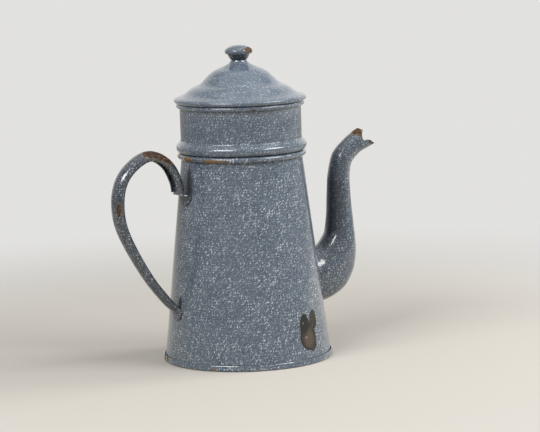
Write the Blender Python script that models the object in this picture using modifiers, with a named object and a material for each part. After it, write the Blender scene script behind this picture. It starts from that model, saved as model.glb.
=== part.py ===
"""An enamelled drip coffee pot in two storeys: a conical pot with a gooseneck spout and a strap
handle, a filter chamber that stands in its mouth, and a domed lid with a knob.

Metres, +Z up. The origin is on the pot's axis, on the plane it stands on; the spout points to +X.
"""

import math

import bmesh
import bpy
from mathutils import Vector

# Sheet and fits
SHEET = 0.0010              # enamelled iron sheet, with its enamel on both sides
SEAT_GAP = 0.0003           # what separates two pieces that rest on each other
SOLDER_GAP = 0.0003         # what separates a tongue from the strap it is soldered into
WELD_DISTANCE = 0.00001     # points of a turned or flat piece closer than this are one
ROUND_STEPS = 32            # facets round a large turned piece
KNOB_STEPS = 24             # facets round a small one
CREASE_ANGLE = 50.0         # a lofted piece's edges sharper than this stay sharp, in degrees

# Pot wall
POT_HEIGHT = 0.1653         # base plane to the top of the mouth's bead
FOOT_RADIUS = 0.0663        # outside of the wall's cone at the base plane
MOUTH_RADIUS = 0.04765      # outside of the wall at the bead
POT_BEAD = 0.00435          # outer width of the bead curled round the mouth
CURL_STEPS = 5
CURL_FREE_ANGLE = -75.0     # where the curled edge ends, measured from outward, in degrees

# Pot bottom: a shallow pressed cup, lapped outside the wall's foot
BOTTOM_RISE = 0.0012        # hollow under the middle of the bottom
LAP_HEIGHT = 0.0048
LAP_CLEARANCE = 0.0002
LAP_CORNER = 0.0013
FOOT_RING_WIDTH = 0.0020    # flat ring that the pot stands on
HOLLOW_SLOPE = 0.0014       # width of the slope between the ring and the hollow

# Filter chamber, measured from its seat on the pot's bead
CHAMBER_HEIGHT = 0.0390
CHAMBER_RADIUS = 0.0480     # outside
CHAMBER_BEAD = 0.00370
BULGE_RADIUS = 0.05156
BULGE_HEIGHT = 0.0099
BULGE_SHARES = (            # share of the bulge's swell, share of its height
    (0.00, 1.00), (0.16, 0.86), (0.56, 0.72), (0.88, 0.57),
    (1.00, 0.40), (0.92, 0.24), (0.66, 0.11),
)
INSERT_DEPTH = 0.0280
INSERT_CLEARANCE = 0.0008   # between the insert and the pot's mouth
LEDGE_WIDTH = 0.0030        # turned in at the insert's foot to carry the perforated bottom

# Perforated discs and what stands on them
HOLE_RADIUS = 0.0011
HOLE_SIDES = 6
DISC_BORDER = 0.0080        # plain margin outside the outermost holes
TAMPER_CLEARANCE = 0.0010
LOOP_WIRE = 0.0024
LOOP_SPAN = 0.0190
LOOP_HEIGHT = 0.0150
LOOP_STEPS = 12
SPREADER_CLEARANCE = 0.0004
SPREADER_KNOB_RADIUS = 0.0055
SPREADER_KNOB_HEIGHT = 0.0120
SPREADER_KNOB_SHARES = (    # share of the knob's radius, share of its height
    (0.00, 1.00), (0.55, 0.96), (0.90, 0.84), (1.00, 0.70),
    (0.84, 0.54), (0.50, 0.36), (0.46, 0.16), (0.80, 0.00), (0.00, 0.00),
)

# Lid, measured from its seat on the chamber's bead
LID_RADIUS = 0.0523
DOME_HEIGHT = 0.0323        # seat to the top of the neck
HEM_WIDTH = 0.0054          # sheet turned in under the lid's rim
DOME_SHARES = (             # share of the lid's radius, share of the dome's height, outer face
    (0.122, 1.000), (0.134, 0.962), (0.168, 0.912), (0.270, 0.836),
    (0.362, 0.774), (0.440, 0.694), (0.516, 0.578), (0.580, 0.470),
    (0.630, 0.417), (0.690, 0.378), (0.752, 0.322), (0.826, 0.228),
    (0.878, 0.179), (0.938, 0.143), (0.982, 0.112), (1.000, 0.073),
    (0.993, 0.033), (0.974, 0.000),
)
NECK_POINTS = 3             # how many of them belong to the neck, which the stem is riveted into
SKIRT_DEPTH = 0.0100
SKIRT_CLEARANCE = 0.0007    # between the skirt and the chamber's mouth
SKIRT_FLANGE = 0.0041

# Knob, measured from the top of the lid's neck
KNOB_RADIUS = 0.0109
KNOB_HEIGHT = 0.0121
KNOB_CAP_SHARES = (         # share of the knob's radius, share of its height, outer face
    (0.00, 1.00), (0.42, 0.96), (0.76, 0.84), (0.95, 0.71),
    (1.00, 0.59), (0.97, 0.48), (0.91, 0.42),
)
KNOB_STEM_SHARES = (        # the same for the middle of the lower half's sheet
    (0.79, 0.51), (0.72, 0.33), (0.61, 0.14),
)

# Handle, in the plane of the spout, on the other side of the pot
HANDLE_UPPER_DROP = 0.0281  # from the mouth's bead down to the strap's upper end
HANDLE_LOWER_END = 0.0433
HANDLE_BOW = 0.0634         # how far the strap's crest stands off the wall
HANDLE_WIDTH = 0.0145
HANDLE_DEPTH = 0.0079       # crest to lips
LIP_ANGLE = 130.0           # how far the strap's sides curl round from the crest, in degrees
STRAP_STEPS = 8             # facets round the strap's section
SPAN_STEPS = 3              # stations between two points of the handle's line
HANDLE_SHARES = (           # share of the bow, share of the height between the ends, share of the width
    (0.044, 1.000, 0.96), (0.080, 1.099, 1.00), (0.205, 1.242, 1.00), (0.382, 1.335, 1.00),
    (0.574, 1.367, 1.00), (0.746, 1.326, 1.00), (0.905, 1.229, 1.00), (0.991, 1.104, 1.00),
    (1.000, 0.934, 1.00), (0.928, 0.743, 0.97), (0.741, 0.521, 0.90), (0.482, 0.277, 0.83),
    (0.267, 0.114, 0.80), (0.162, 0.043, 0.79), (0.080, 0.000, 0.76),
)

# Tongues that tie the strap to the wall
TONGUE_SHEET = 0.0012
TONGUE_INSIDE = 0.0120      # length held inside the strap
UPPER_TONGUE_DROP = 0.0112  # from the strap's end to the tongue's tip
UPPER_TONGUE_WIDTH = 0.0184
UPPER_TONGUE_TIP = 0.0076   # height of the tongue's half round tip
LOWER_TONGUE_DROP = 0.0074
LOWER_TONGUE_WIDTH = 0.0142
LOWER_TONGUE_TIP = 0.0052
TONGUE_BEND = 0.0014        # drop of the bend between the strap and the wall
TONGUE_TIP_ANGLES = (0.0, 24.0, 46.0, 66.0, 82.0)
TONGUE_ROW_SHARES = (-1.0, -0.5, 0.0, 0.5, 1.0)

# Spout, in its plane of symmetry
SPOUT_ROOT = 0.0358         # height of the root's lowest point
SPOUT_RISE = 0.1392         # from there to the mouth's highest point
SPOUT_SPREAD = 0.0735       # how far the lip stands off the wall
SPOUT_FLANGE = 0.0030       # turned out on the wall round the root
SPOUT_ARC_STEPS = 7         # facets round one half
SPOUT_SHARES = (            # upper edge (spread, rise), lower edge (spread, rise), breadth over depth
    (0.000, 0.307, 0.000, 0.000, 0.74),
    (0.021, 0.310, 0.204, 0.027, 0.73),
    (0.052, 0.316, 0.381, 0.078, 0.72),
    (0.093, 0.325, 0.502, 0.157, 0.76),
    (0.152, 0.343, 0.559, 0.232, 0.84),
    (0.205, 0.369, 0.585, 0.298, 0.92),
    (0.257, 0.404, 0.596, 0.364, 0.99),
    (0.281, 0.440, 0.600, 0.429, 1.00),
    (0.313, 0.511, 0.605, 0.506, 1.00),
    (0.336, 0.585, 0.610, 0.585, 1.00),
    (0.361, 0.660, 0.618, 0.658, 1.00),
    (0.385, 0.727, 0.629, 0.720, 1.00),
    (0.422, 0.792, 0.651, 0.767, 1.00),
    (0.471, 0.854, 0.681, 0.805, 1.00),
    (0.536, 0.896, 0.725, 0.830, 1.00),
    (0.627, 0.934, 0.807, 0.861, 1.00),
    (0.714, 0.965, 0.895, 0.881, 1.00),
    (0.831, 0.999, 1.000, 0.903, 1.00),
)
NOTCH_SHARES = (            # the wedge cut from the mouth's sides: spread, rise
    (0.874, 0.978), (0.881, 0.950), (0.857, 0.927),
    (0.981, 0.927), (1.060, 0.950), (0.981, 1.022),
)
NOTCH_HALF_WIDTH = 0.0200   # of the wedge, past the mouth's sides
HOLE_MARGIN = 0.0010        # wall left standing inside the spout's root
HOLE_STEPS = 24
HOLE_OVERRUN = 0.0100       # how far the hole's cutter passes the wall on each side

# Colours of the finishes
ENAMEL_BLUE = (0.128, 0.163, 0.220, 1.0)
ENAMEL_DARK = (0.060, 0.078, 0.110, 1.0)
ENAMEL_PALE = (0.170, 0.205, 0.262, 1.0)

# Places worked out from the sizes above
BEAD_CENTRE = POT_HEIGHT - POT_BEAD / 2
HANDLE_UPPER_END = POT_HEIGHT - HANDLE_UPPER_DROP
FILTER_SEAT = POT_HEIGHT + SEAT_GAP
CHAMBER_MIDDLE = CHAMBER_RADIUS - SHEET / 2
CHAMBER_BORE = CHAMBER_RADIUS - SHEET
INSERT_RADIUS = MOUTH_RADIUS - SHEET - INSERT_CLEARANCE
INSERT_BORE = INSERT_RADIUS - SHEET
FILTER_BOTTOM_PLACE = SHEET + SEAT_GAP - INSERT_DEPTH
TAMPER_PLACE = FILTER_BOTTOM_PLACE + SHEET + SEAT_GAP
SPREADER_PLACE = SHEET + SEAT_GAP
LID_SEAT = CHAMBER_HEIGHT + SEAT_GAP


def wall_radius(height):
    """Outside of the pot's cone at a height."""
    return FOOT_RADIUS + (MOUTH_RADIUS - FOOT_RADIUS) * height / BEAD_CENTRE


def wall_lean():
    """Angle between the pot's wall and its axis, in degrees."""
    return math.degrees(math.atan2(FOOT_RADIUS - MOUTH_RADIUS, BEAD_CENTRE))


# Scene and materials

for leftover in list(bpy.data.objects):
    bpy.data.objects.remove(leftover, do_unlink=True)

PARTS = bpy.data.collections.new("enamel_coffee_pot")
CUTTERS = bpy.data.collections.new("cutters")
bpy.context.scene.collection.children.link(PARTS)
bpy.context.scene.collection.children.link(CUTTERS)


def enamel(name, colour, roughness):
    """A glossy vitreous enamel."""
    material = bpy.data.materials.new(name)
    material.use_nodes = True
    shader = material.node_tree.nodes["Principled BSDF"]
    shader.inputs["Base Color"].default_value = colour
    shader.inputs["Roughness"].default_value = roughness
    shader.inputs["Metallic"].default_value = 0.0
    return material


def place(name, mesh, material, parent=None, location=(0, 0, 0)):
    """Adds a mesh to the model as a named sub-part."""
    part = bpy.data.objects.new(name, mesh)
    part.location = location
    part.parent = parent
    if material is not None:
        mesh.materials.append(material)
    PARTS.objects.link(part)
    return part


def section_origin(name, height, parent=None):
    """An empty on the pot's axis that a lifted section hangs from."""
    empty = bpy.data.objects.new(name, None)
    empty.location = (0, 0, height)
    empty.parent = parent
    PARTS.objects.link(empty)
    return empty


def make_cutter(name, mesh):
    """Adds a closed mesh that only cuts other pieces."""
    cutter = bpy.data.objects.new(name, mesh)
    cutter.hide_render = True
    cutter.display_type = "WIRE"
    CUTTERS.objects.link(cutter)
    return cutter


def cut(part, cutter):
    """Cuts one solid out of another."""
    boolean = part.modifiers.new("cut", "BOOLEAN")
    boolean.operation = "DIFFERENCE"
    boolean.object = cutter
    boolean.solver = "EXACT"


# Turned pieces

def arc(centre, radius, first, last, steps):
    """Points of a circle's arc in the profile plane, its angles in degrees from outward."""
    points = []
    for step in range(steps + 1):
        angle = math.radians(first + (last - first) * step / steps)
        points.append((centre[0] + radius * math.cos(angle), centre[1] + radius * math.sin(angle)))
    return points


def scaled(shares, width, height, foot=0):
    """A profile given in shares of a width and a height."""
    return [(share * width, foot + rise * height) for share, rise in shares]


def curled_edge(middle, top, bead, lean):
    """Middle line of a wall's edge curled outward, from its free end round to the wall."""
    reach = (bead - SHEET) / 2
    return arc((middle + reach, top - bead / 2), reach, CURL_FREE_ANGLE, 180.0 + lean, CURL_STEPS)


def offset_line(points, distance):
    """The parallel of a profile that runs top to bottom, moved outward by the distance."""
    moved = []
    last = len(points) - 1
    for i, point in enumerate(points):
        spot = Vector(point)
        run_in = (spot - Vector(points[max(i - 1, 0)])).normalized()
        run_out = (Vector(points[min(i + 1, last)]) - spot).normalized()
        run = (run_in + run_out).normalized()
        mitre = run.dot(run_out if i < last else run_in)
        moved.append((spot.x - run.y * distance / mitre, spot.y + run.x * distance / mitre))
    return moved


def turned(name, profile, steps, material, parent, height, thickness=0.0, side=0.0):
    """Spins a profile round the axis; with a thickness, the profile is one sheet.

    side places the sheet: 0 has the profile in the sheet's middle, -1 on its outer face.
    """
    mesh = bpy.data.meshes.new(name)
    points = [(radius, 0, rise) for radius, rise in profile]
    edges = [(i, i + 1) for i in range(len(points) - 1)]
    mesh.from_pydata(points, edges, [])
    part = place(name, mesh, material, parent, (0, 0, height))
    screw = part.modifiers.new("spin", "SCREW")
    screw.axis = "Z"
    screw.steps = steps
    screw.render_steps = steps
    screw.use_merge_vertices = True
    screw.merge_threshold = WELD_DISTANCE
    screw.use_smooth_shade = True
    if thickness:
        wall = part.modifiers.new("sheet", "SOLIDIFY")
        wall.thickness = thickness
        wall.offset = side
        wall.use_even_offset = True
    return part


# Lofted pieces

def smooth_line(points, steps):
    """A Catmull-Rom curve through the points, as lists of the same length as each point."""
    line = []
    last = len(points) - 1
    for i in range(last):
        four = [points[max(i - 1, 0)], points[i], points[i + 1], points[min(i + 2, last)]]
        for step in range(steps):
            t = step / steps
            weights = (
                (-t**3 + 2 * t**2 - t) / 2,
                (3 * t**3 - 5 * t**2 + 2) / 2,
                (-3 * t**3 + 4 * t**2 + t) / 2,
                (t**3 - t**2) / 2,
            )
            line.append([sum(w * p[k] for w, p in zip(weights, four)) for k in range(len(points[0]))])
    line.append(list(points[last]))
    return line


def shell_loft(name, stations):
    """Joins stations into a sheet; each station is its outer row and its inner row of points."""
    bm = bmesh.new()
    rings = []
    for outer, inner in stations:
        rings.append([bm.verts.new(p) for p in outer] + [bm.verts.new(p) for p in reversed(inner)])
    for first, second in zip(rings, rings[1:]):
        count = len(first)
        for i in range(count):
            j = (i + 1) % count
            bm.faces.new((first[i], first[j], second[j], second[i]))
    for ring in (rings[0], rings[-1]):
        count = len(ring)
        for i in range(count // 2 - 1):
            bm.faces.new((ring[i], ring[i + 1], ring[count - 2 - i], ring[count - 1 - i]))
    bmesh.ops.recalc_face_normals(bm, faces=bm.faces)
    mesh = bpy.data.meshes.new(name)
    bm.to_mesh(mesh)
    bm.free()
    mesh.shade_smooth()
    mesh.set_sharp_from_angle(angle=math.radians(CREASE_ANGLE))
    return mesh


def extruded(name, outline, half_width):
    """A prism across the spout's plane, from an outline in that plane."""
    bm = bmesh.new()
    near = bm.faces.new([bm.verts.new((x, -half_width, z)) for x, z in outline])
    grown = bmesh.ops.extrude_face_region(bm, geom=[near])
    moved = [v for v in grown["geom"] if isinstance(v, bmesh.types.BMVert)]
    bmesh.ops.translate(bm, verts=moved, vec=(0, 2 * half_width, 0))
    bmesh.ops.recalc_face_normals(bm, faces=bm.faces)
    mesh = bpy.data.meshes.new(name)
    bm.to_mesh(mesh)
    bm.free()
    return mesh


# Pot wall and bottom

def spout_point(spread, rise):
    """A point of the spout's plane from its shares."""
    height = SPOUT_ROOT + rise * SPOUT_RISE
    return Vector((wall_radius(height) + spread * SPOUT_SPREAD, height))


def spout_station(shares):
    """Middle, half depth towards the upper edge, and half breadth of one section of the spout."""
    upper = spout_point(shares[0], shares[1])
    lower = spout_point(shares[2], shares[3])
    half = (upper - lower) / 2
    return (upper + lower) / 2, half, half.length * shares[4]


def spout_hole():
    """Cuts the wall inside the spout's root."""
    middle, half, breadth = spout_station(SPOUT_SHARES[0])
    inset = SHEET + HOLE_MARGIN
    bm = bmesh.new()
    bmesh.ops.create_cone(
        bm, cap_ends=True, segments=HOLE_STEPS, radius1=1, radius2=1, depth=1,
    )
    reach = FOOT_RADIUS - MOUTH_RADIUS + 2 * HOLE_OVERRUN
    for vert in bm.verts:
        across, up, along = vert.co
        vert.co = (
            middle.x + along * reach,
            across * (breadth - inset),
            middle.y + up * (half.y - inset),
        )
    bmesh.ops.recalc_face_normals(bm, faces=bm.faces)
    mesh = bpy.data.meshes.new("spout_hole")
    bm.to_mesh(mesh)
    bm.free()
    return make_cutter("spout_hole", mesh)


def build_pot(blue, dark):
    foot = BOTTOM_RISE + SHEET + SEAT_GAP
    wall_line = curled_edge(MOUTH_RADIUS - SHEET / 2, POT_HEIGHT, POT_BEAD, wall_lean())
    wall_line.append((wall_radius(foot) - SHEET / 2, foot))
    wall = turned("pot_body", wall_line, ROUND_STEPS, blue, None, 0, SHEET)
    cut(wall, spout_hole())

    rim = FOOT_RADIUS + LAP_CLEARANCE + SHEET
    ring = rim - LAP_CORNER
    bottom_line = [(rim, LAP_HEIGHT)]
    bottom_line += arc((ring, LAP_CORNER), LAP_CORNER, 0.0, -90.0, 3)
    bottom_line.append((ring - FOOT_RING_WIDTH, 0))
    bottom_line.append((ring - FOOT_RING_WIDTH - HOLLOW_SLOPE, BOTTOM_RISE))
    bottom_line.append((0, BOTTOM_RISE))
    turned("pot_bottom", bottom_line, ROUND_STEPS, dark, None, 0, SHEET, -1.0)


# Spout

def on_wall(across, height, stand_off):
    """A point on the pot's wall, on the spout's side, standing off by a distance."""
    radius = wall_radius(height) + stand_off
    return (math.sqrt(radius * radius - across * across), across, height)


def spout_rows(middle, half, breadth, side, inset, stand_off=None):
    """Half a section from its upper edge to its lower one; on the wall if it stands off it."""
    row = []
    shrink = 1 - inset / half.length
    for step in range(SPOUT_ARC_STEPS + 1):
        angle = math.pi * step / SPOUT_ARC_STEPS
        across = side * (breadth - inset) * math.sin(angle)
        if step in (0, SPOUT_ARC_STEPS):
            across = 0
        spot = middle + half * shrink * math.cos(angle)
        if stand_off is None:
            row.append((spot.x, across, spot.y))
        else:
            row.append(on_wall(across, spot.y, stand_off))
    return row


def build_spout(side, name, material, notch):
    root = spout_station(SPOUT_SHARES[0])
    stations = [
        (
            spout_rows(*root, side, -SPOUT_FLANGE, SEAT_GAP + SHEET),
            spout_rows(*root, side, -SPOUT_FLANGE, SEAT_GAP),
        ),
        (
            spout_rows(*root, side, 0, SEAT_GAP + SHEET),
            spout_rows(*root, side, SHEET, SEAT_GAP),
        ),
    ]
    for shares in SPOUT_SHARES[1:]:
        station = spout_station(shares)
        stations.append((spout_rows(*station, side, 0), spout_rows(*station, side, SHEET)))
    half = place(name, shell_loft(name, stations), material)
    cut(half, notch)


def build_spout_halves(blue):
    outline = [spout_point(spread, rise) for spread, rise in NOTCH_SHARES]
    notch = make_cutter("mouth_notch", extruded("mouth_notch", outline, NOTCH_HALF_WIDTH))
    build_spout(-1, "spout_right_half", blue, notch)
    build_spout(1, "spout_left_half", blue, notch)


# Handle

def handle_line():
    """Crest of the strap: distance from the axis, height and width share of each station."""
    rise = HANDLE_UPPER_END - HANDLE_LOWER_END
    points = []
    for bow, height_share, width_share in HANDLE_SHARES:
        height = HANDLE_LOWER_END + height_share * rise
        points.append((wall_radius(height) + bow * HANDLE_BOW, height, width_share))
    return smooth_line(points, SPAN_STEPS)


def away_from_loop(line, i):
    """Unit vector square to the strap's crest, pointing out of the loop."""
    before = Vector(line[max(i - 1, 0)][:2])
    after = Vector(line[min(i + 1, len(line) - 1)][:2])
    run = (after - before).normalized()
    return Vector((-run.y, run.x))


def section_sizes(share):
    """Half width and half depth of the strap's elliptical section, from its width share."""
    depth = HANDLE_DEPTH * share / (1 - math.cos(math.radians(LIP_ANGLE)))
    return HANDLE_WIDTH * share / 2, depth


def strap_row(spot, outward, share, inset):
    """One row across the strap, from lip to lip, moved inward by the inset."""
    half_width, half_depth = section_sizes(share)
    row = []
    for step in range(STRAP_STEPS + 1):
        angle = math.radians(LIP_ANGLE * (2 * step / STRAP_STEPS - 1))
        across = (half_width - inset) * math.sin(angle)
        sink = half_depth - (half_depth - inset) * math.cos(angle)
        point = Vector(spot[:2]) - outward * sink
        row.append((-point.x, across, point.y))
    return row


def build_strap(blue):
    line = handle_line()
    stations = []
    for i, spot in enumerate(line):
        outward = away_from_loop(line, i)
        stations.append((strap_row(spot, outward, spot[2], 0), strap_row(spot, outward, spot[2], SHEET)))
    place("handle_strap", shell_loft("handle_strap", stations), blue)


def tongue_rows(middle_line):
    """Both faces of a formed strip; each of its places has a distance from the axis, a height,
    a half width and whether the strip lies round the wall there."""
    stations = []
    for i, (radius, height, half_width, wrapped) in enumerate(middle_line):
        before = Vector(middle_line[max(i - 1, 0)][:2])
        after = Vector(middle_line[min(i + 1, len(middle_line) - 1)][:2])
        run = (after - before).normalized()
        square = Vector((-run.y, run.x)) * TONGUE_SHEET / 2
        rows = []
        for face in (1, -1):
            row = []
            for share in TONGUE_ROW_SHARES:
                across = share * half_width
                reach = radius + face * square.x
                if wrapped:
                    reach = math.sqrt(reach * reach - across * across)
                row.append((-reach, across, height + face * square.y))
            rows.append(row)
        stations.append(rows)
    return stations


def held_places(line, steps):
    """Middle of a strip inside the strap, over its length there; steps walk in from the end."""
    places = []
    end = Vector(line[steps[0]][:2])
    for i in steps:
        crest = Vector(line[i][:2])
        if (crest - end).length > TONGUE_INSIDE:
            break
        half_width, half_depth = section_sizes(line[i][2])
        spot = crest - away_from_loop(line, i) * half_depth
        squeeze = math.sqrt(1 - (TONGUE_SHEET / 2 / (half_depth - SHEET)) ** 2)
        places.append((spot.x, spot.y, (half_width - SHEET) * squeeze - SOLDER_GAP, False))
    return places


def tongue_on_wall(top, tip, half_width, tip_height):
    """The strip's places down the wall, ending in a half round tip."""
    stand_off = SEAT_GAP + TONGUE_SHEET / 2
    places = [(wall_radius(top) + stand_off, top, half_width, True)]
    for angle in TONGUE_TIP_ANGLES:
        height = tip + tip_height * (1 - math.sin(math.radians(angle)))
        share = math.cos(math.radians(angle))
        places.append((wall_radius(height) + stand_off, height, half_width * share, True))
    return places


def build_tongue(name, material, steps, drop, width, tip_height):
    inside = held_places(handle_line(), steps)
    end = Vector(inside[0][:2])
    held = inside[0][2]
    leaving = (end - Vector(inside[1][:2])).normalized()
    bend = end + leaving * TONGUE_BEND
    outside = tongue_on_wall(bend.y - TONGUE_BEND, end.y - drop, width / 2, tip_height)
    places = list(reversed(inside)) + [(bend.x, bend.y, (held + width / 2) / 2, False)] + outside
    place(name, shell_loft(name, tongue_rows(places)), material)


def build_handle(blue, dark):
    build_strap(blue)
    last = SPAN_STEPS * (len(HANDLE_SHARES) - 1)
    build_tongue(
        "handle_upper_bracket", dark, list(range(last)),
        UPPER_TONGUE_DROP, UPPER_TONGUE_WIDTH, UPPER_TONGUE_TIP,
    )
    build_tongue(
        "handle_lower_bracket", dark, list(range(last, 0, -1)),
        LOWER_TONGUE_DROP, LOWER_TONGUE_WIDTH, LOWER_TONGUE_TIP,
    )


# Filter chamber and the discs inside it

def build_chamber(parent, blue):
    swell = BULGE_RADIUS - CHAMBER_RADIUS
    line = curled_edge(CHAMBER_MIDDLE, CHAMBER_HEIGHT, CHAMBER_BEAD, 0.0)
    line += [(CHAMBER_MIDDLE + share * swell, rise * BULGE_HEIGHT) for share, rise in BULGE_SHARES]
    insert_middle = INSERT_RADIUS - SHEET / 2
    line.append((CHAMBER_MIDDLE + swell / 3, SHEET / 2))
    line.append((insert_middle, SHEET / 2))
    line.append((insert_middle, SHEET / 2 - INSERT_DEPTH))
    line.append((insert_middle - LEDGE_WIDTH, SHEET / 2 - INSERT_DEPTH))
    turned("filter_body", line, ROUND_STEPS, blue, parent, 0, SHEET)


def circle_spline(curve, centre, radius, sides):
    spline = curve.splines.new("POLY")
    spline.points.add(sides - 1)
    for i, point in enumerate(spline.points):
        angle = 2 * math.pi * i / sides
        point.co = (centre[0] + radius * math.cos(angle), centre[1] + radius * math.sin(angle), 0, 1)
    spline.use_cyclic_u = True


def perforated_disc(name, radius, rings, first_ring, material, parent, height):
    """A flat disc with holes on rings of six, twelve, eighteen and so on."""
    curve = bpy.data.curves.new(name, "CURVE")
    curve.dimensions = "2D"
    curve.fill_mode = "BOTH"
    curve.extrude = SHEET / 2
    circle_spline(curve, (0, 0), radius, ROUND_STEPS)
    pitch = (radius - DISC_BORDER) / rings
    for ring in range(first_ring, rings + 1):
        for i in range(max(6 * ring, 1)):
            angle = 2 * math.pi * i / max(6 * ring, 1)
            centre = (ring * pitch * math.cos(angle), ring * pitch * math.sin(angle))
            circle_spline(curve, centre, HOLE_RADIUS, HOLE_SIDES)
    outline = bpy.data.objects.new(name, curve)
    PARTS.objects.link(outline)
    graph = bpy.context.evaluated_depsgraph_get()
    mesh = bpy.data.meshes.new_from_object(outline.evaluated_get(graph))
    bpy.data.objects.remove(outline)
    bm = bmesh.new()
    bm.from_mesh(mesh)
    bmesh.ops.remove_doubles(bm, verts=bm.verts, dist=WELD_DISTANCE)
    bmesh.ops.recalc_face_normals(bm, faces=bm.faces)
    bm.to_mesh(mesh)
    bm.free()
    mesh.name = name
    place(name, mesh, material, parent, (0, 0, height + SHEET / 2))


def build_tamper(parent, dark):
    perforated_disc("tamper_disc", INSERT_BORE - TAMPER_CLEARANCE, 2, 1, dark, parent, 0)
    curve = bpy.data.curves.new("tamper_loop", "CURVE")
    curve.dimensions = "3D"
    curve.bevel_depth = LOOP_WIRE / 2
    curve.bevel_resolution = 1
    curve.use_fill_caps = True
    foot = SHEET + SEAT_GAP
    bow = LOOP_SPAN / 2
    places = [(bow, foot)]
    places += arc((0, foot + LOOP_HEIGHT - bow), bow, 0.0, 180.0, LOOP_STEPS)
    places.append((-bow, foot))
    spline = curve.splines.new("POLY")
    spline.points.add(len(places) - 1)
    for point, (across, height) in zip(spline.points, places):
        point.co = (across, 0, height, 1)
    curve.materials.append(dark)
    loop = bpy.data.objects.new("tamper_loop", curve)
    loop.parent = parent
    PARTS.objects.link(loop)


def build_spreader(parent, blue):
    perforated_disc("spreader_disc", CHAMBER_BORE - SPREADER_CLEARANCE, 3, 1, blue, parent, 0)
    line = scaled(SPREADER_KNOB_SHARES, SPREADER_KNOB_RADIUS, SPREADER_KNOB_HEIGHT)
    turned("spreader_knob", line, KNOB_STEPS, blue, parent, SHEET + SEAT_GAP)


# Lid and knob

def build_lid(parent, blue, dark):
    dome_line = scaled(DOME_SHARES, LID_RADIUS, DOME_HEIGHT)
    dome_line.append((LID_RADIUS - HEM_WIDTH, 0))
    turned("lid_dome", dome_line, ROUND_STEPS, blue, parent, 0, SHEET, -1.0)

    skirt = CHAMBER_BORE - SKIRT_CLEARANCE - SHEET / 2
    flange = SHEET + SEAT_GAP + SHEET / 2
    skirt_line = [(skirt + SKIRT_FLANGE, flange), (skirt, flange), (skirt, -SKIRT_DEPTH)]
    turned("lid_skirt", skirt_line, ROUND_STEPS, dark, parent, 0, SHEET)


def build_knob(parent, blue, dark):
    cap_line = scaled(KNOB_CAP_SHARES, KNOB_RADIUS, KNOB_HEIGHT)
    turned("knob_cap", cap_line, KNOB_STEPS, blue, parent, 0, SHEET, -1.0)

    neck = scaled(DOME_SHARES[:NECK_POINTS], LID_RADIUS, DOME_HEIGHT, -DOME_HEIGHT)
    rivet = offset_line(neck, -(SHEET + SEAT_GAP + SHEET / 2))
    shoulder = SEAT_GAP + SHEET / 2
    stem_line = scaled(KNOB_STEM_SHARES, KNOB_RADIUS, KNOB_HEIGHT)
    stem_line.append((neck[0][0] - SHEET / 2, shoulder))
    stem_line.append((rivet[0][0], shoulder))
    stem_line += rivet
    turned("knob_stem", stem_line, KNOB_STEPS, dark, parent, 0, SHEET)


def build_all():
    blue = enamel("blue enamel", ENAMEL_BLUE, 0.22)
    dark = enamel("dark enamel", ENAMEL_DARK, 0.30)
    pale = enamel("pale enamel", ENAMEL_PALE, 0.25)

    build_pot(blue, dark)
    build_spout_halves(blue)
    build_handle(blue, dark)

    filter_section = section_origin("filter_section", FILTER_SEAT)
    build_chamber(filter_section, blue)
    perforated_disc(
        "filter_bottom", INSERT_BORE - SEAT_GAP, 4, 0, pale, filter_section, FILTER_BOTTOM_PLACE,
    )
    build_tamper(section_origin("tamper", TAMPER_PLACE, filter_section), pale)
    build_spreader(section_origin("spreader", SPREADER_PLACE, filter_section), pale)

    lid = section_origin("lid", LID_SEAT, filter_section)
    build_lid(lid, blue, dark)
    build_knob(section_origin("knob", DOME_HEIGHT, lid), blue, dark)


build_all()
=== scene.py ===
# %% [markdown]
# # An enamelled drip coffee pot
#
# The pot is thin iron sheet, spun and pressed to shape and dipped in blue-grey enamel with white flecks.
# The coffee pot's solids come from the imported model. This script dresses them: every sheet that shows is
# modelled again with enough faces to shine smoothly, and each finish is a tree of shader nodes.

# %% Load the solids
import math

import bmesh
import bpy
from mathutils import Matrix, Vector


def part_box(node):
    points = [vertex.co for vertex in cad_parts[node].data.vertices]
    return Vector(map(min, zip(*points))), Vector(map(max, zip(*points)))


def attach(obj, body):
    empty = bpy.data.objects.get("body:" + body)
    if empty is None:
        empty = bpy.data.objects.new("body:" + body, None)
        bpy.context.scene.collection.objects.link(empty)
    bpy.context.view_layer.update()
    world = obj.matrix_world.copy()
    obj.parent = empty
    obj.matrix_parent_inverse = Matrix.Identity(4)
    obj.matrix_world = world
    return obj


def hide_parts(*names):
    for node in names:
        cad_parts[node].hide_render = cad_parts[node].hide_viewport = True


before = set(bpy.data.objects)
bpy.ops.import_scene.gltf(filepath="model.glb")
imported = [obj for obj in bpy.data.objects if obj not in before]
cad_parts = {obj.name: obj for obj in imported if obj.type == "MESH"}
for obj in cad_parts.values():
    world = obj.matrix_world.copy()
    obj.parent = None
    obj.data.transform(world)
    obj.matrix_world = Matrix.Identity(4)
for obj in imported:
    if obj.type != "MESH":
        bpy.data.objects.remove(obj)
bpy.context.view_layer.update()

print("solids:", sorted(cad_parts))

# %% [markdown]
# ## Camera
#
# The photograph was taken with a long lens from about two metres, a little above the lid, with the pot
# turned by 28 degrees, so that the handle comes forward on the left and the spout points back on the
# right. The numbers come from fitting the pot's round edges, which show as ellipses.

# %% Camera
camera_data = bpy.data.cameras.new("photo camera")
camera_data.lens = 169.2
camera_data.sensor_width = 36.0
camera = bpy.data.objects.new("photo camera", camera_data)
camera.location = (-0.9389, -1.7659, 0.3923)
camera.rotation_euler = [math.radians(turn) for turn in (82.025, 1.761, -28.843)]
bpy.context.scene.collection.objects.link(camera)
bpy.context.scene.camera = camera
print("camera stands", round(camera.location.length, 3), "m from the pot's foot")

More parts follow.
